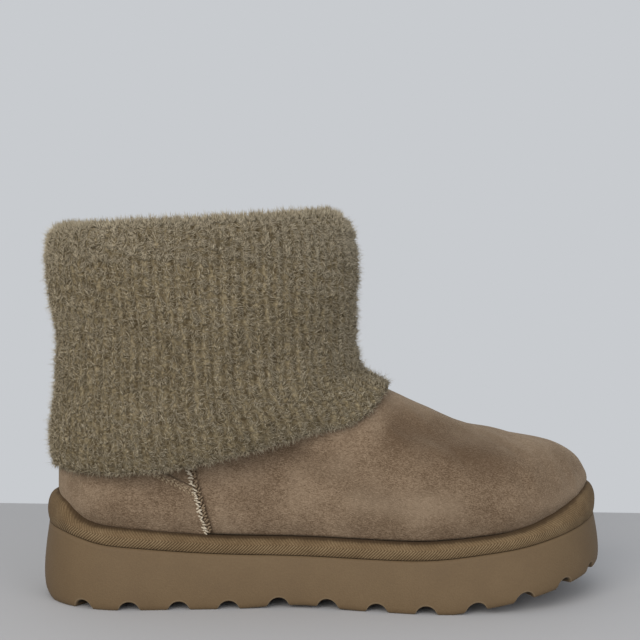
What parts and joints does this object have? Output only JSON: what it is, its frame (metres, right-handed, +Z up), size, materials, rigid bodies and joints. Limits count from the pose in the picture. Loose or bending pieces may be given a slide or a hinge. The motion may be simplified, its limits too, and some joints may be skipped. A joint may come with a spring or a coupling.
{
  "type": "sheepskin boot",
  "caption": "Low platform ankle boot in suede with a plush lining, a deep rib-knit cuff folded down over the shaft, a tape-wrapped midsole and a notched outsole.",
  "frame": {"origin": "centre of the boot's footprint on the floor", "axes": "+X to the toe, +Y to the inner (medial) side, +Z up"},
  "size_m": [0.277, 0.1104, 0.1892],
  "materials": {
    "outsole_foam": "matte moulded EVA foam with a fine moulding grain",
    "wrap_tape": "herringbone woven tape",
    "plush_lining": "cream plush pile",
    "suede": "napped suede with brushed patches",
    "brushed_knit": "brushed rib knit with long fluffy fibres",
    "overlock_thread": "fluffy cream overlock thread"
  },
  "bodies": {
    "root": {"outsole": "outsole_foam", "midsole": "wrap_tape", "insole": "plush_lining", "upper": "suede", "heel_counter": "suede", "cuff": "brushed_knit"}
  },
  "joints": []
}
